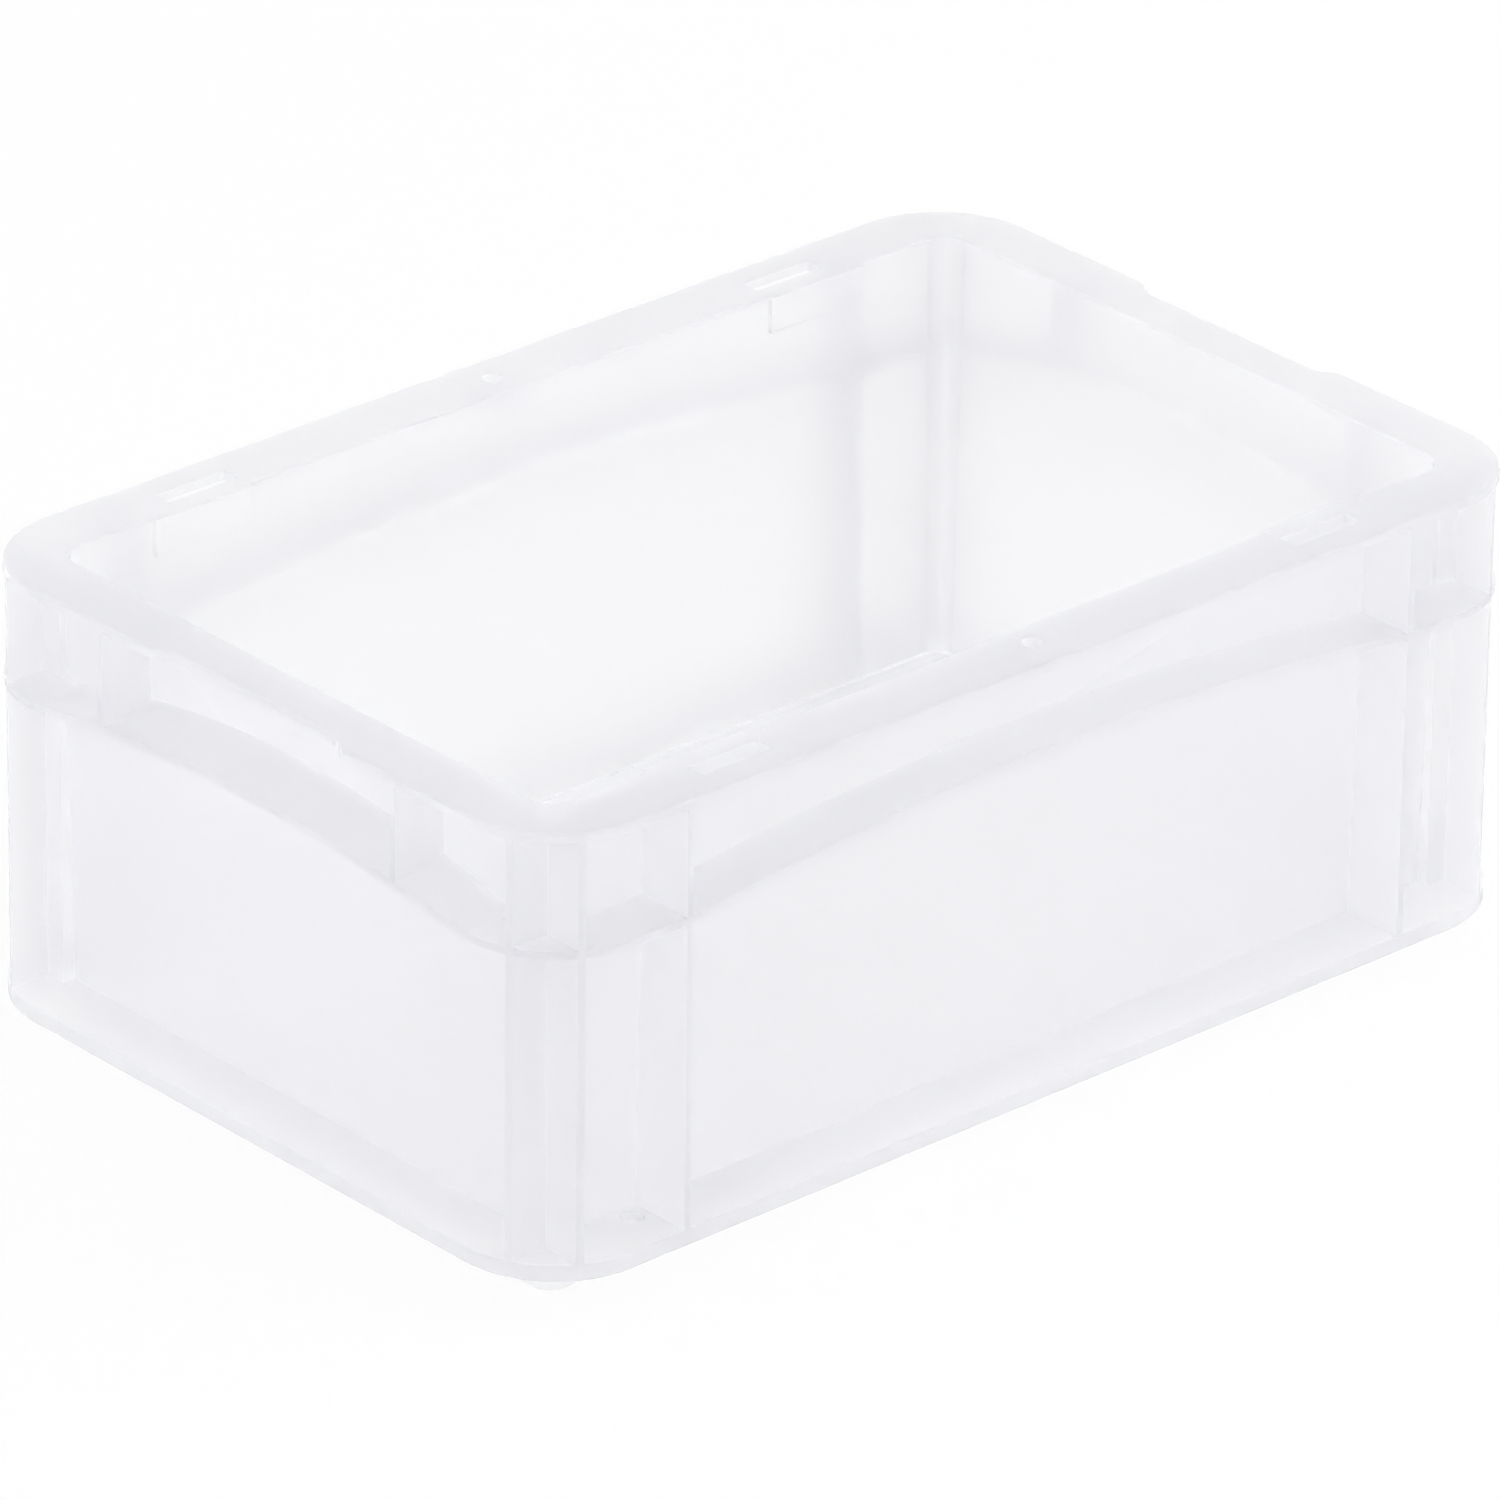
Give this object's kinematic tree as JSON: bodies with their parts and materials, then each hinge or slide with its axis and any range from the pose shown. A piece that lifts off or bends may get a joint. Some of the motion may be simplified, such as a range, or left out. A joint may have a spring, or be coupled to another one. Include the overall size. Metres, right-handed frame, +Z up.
{
  "type": "euro container",
  "caption": "Clear open-top euro container with rim, arched ledge, ribs, hand grips and a nesting foot.",
  "frame": {"origin": "centre of the foot's underside, at the level of the floor that it stands on", "axes": "+X along the long sides, +Y along the short sides, +Z up"},
  "size_m": [0.3, 0.2, 0.12],
  "materials": {
    "clear_polypropylene": "clear, slightly milky, glossy"
  },
  "bodies": {
    "root": {"container": "clear_polypropylene"}
  },
  "joints": []
}
